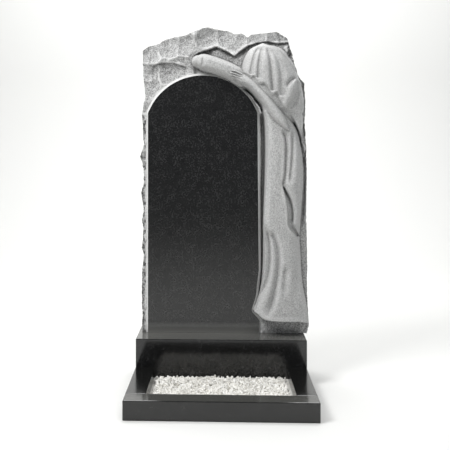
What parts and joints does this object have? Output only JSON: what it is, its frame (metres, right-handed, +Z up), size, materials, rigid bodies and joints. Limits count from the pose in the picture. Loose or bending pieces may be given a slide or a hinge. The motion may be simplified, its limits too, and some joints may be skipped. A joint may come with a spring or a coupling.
{
  "type": "headstone",
  "caption": "Granite headstone: rough-topped stone with a polished arched face and a veiled mourner in high relief, on a plinth with a bed of marble chips.",
  "frame": {"origin": "middle of the plinth's underside, on the ground", "axes": "+Z up, the carved face and the bed towards -Y, +X to the viewer's right"},
  "size_m": [0.618, 0.548, 1.2694],
  "materials": {
    "granite_carved": "matt where carved and broken, its arched face polished near black",
    "granite_polished": "polished",
    "marble_chips": "rough crushed chips"
  },
  "bodies": {
    "root": {"stele": "granite_carved", "plinth": "granite_polished", "bar_left": "granite_polished", "bar_right": "granite_polished", "bar_front": "granite_polished", "gravel_bed": "marble_chips"}
  },
  "joints": []
}
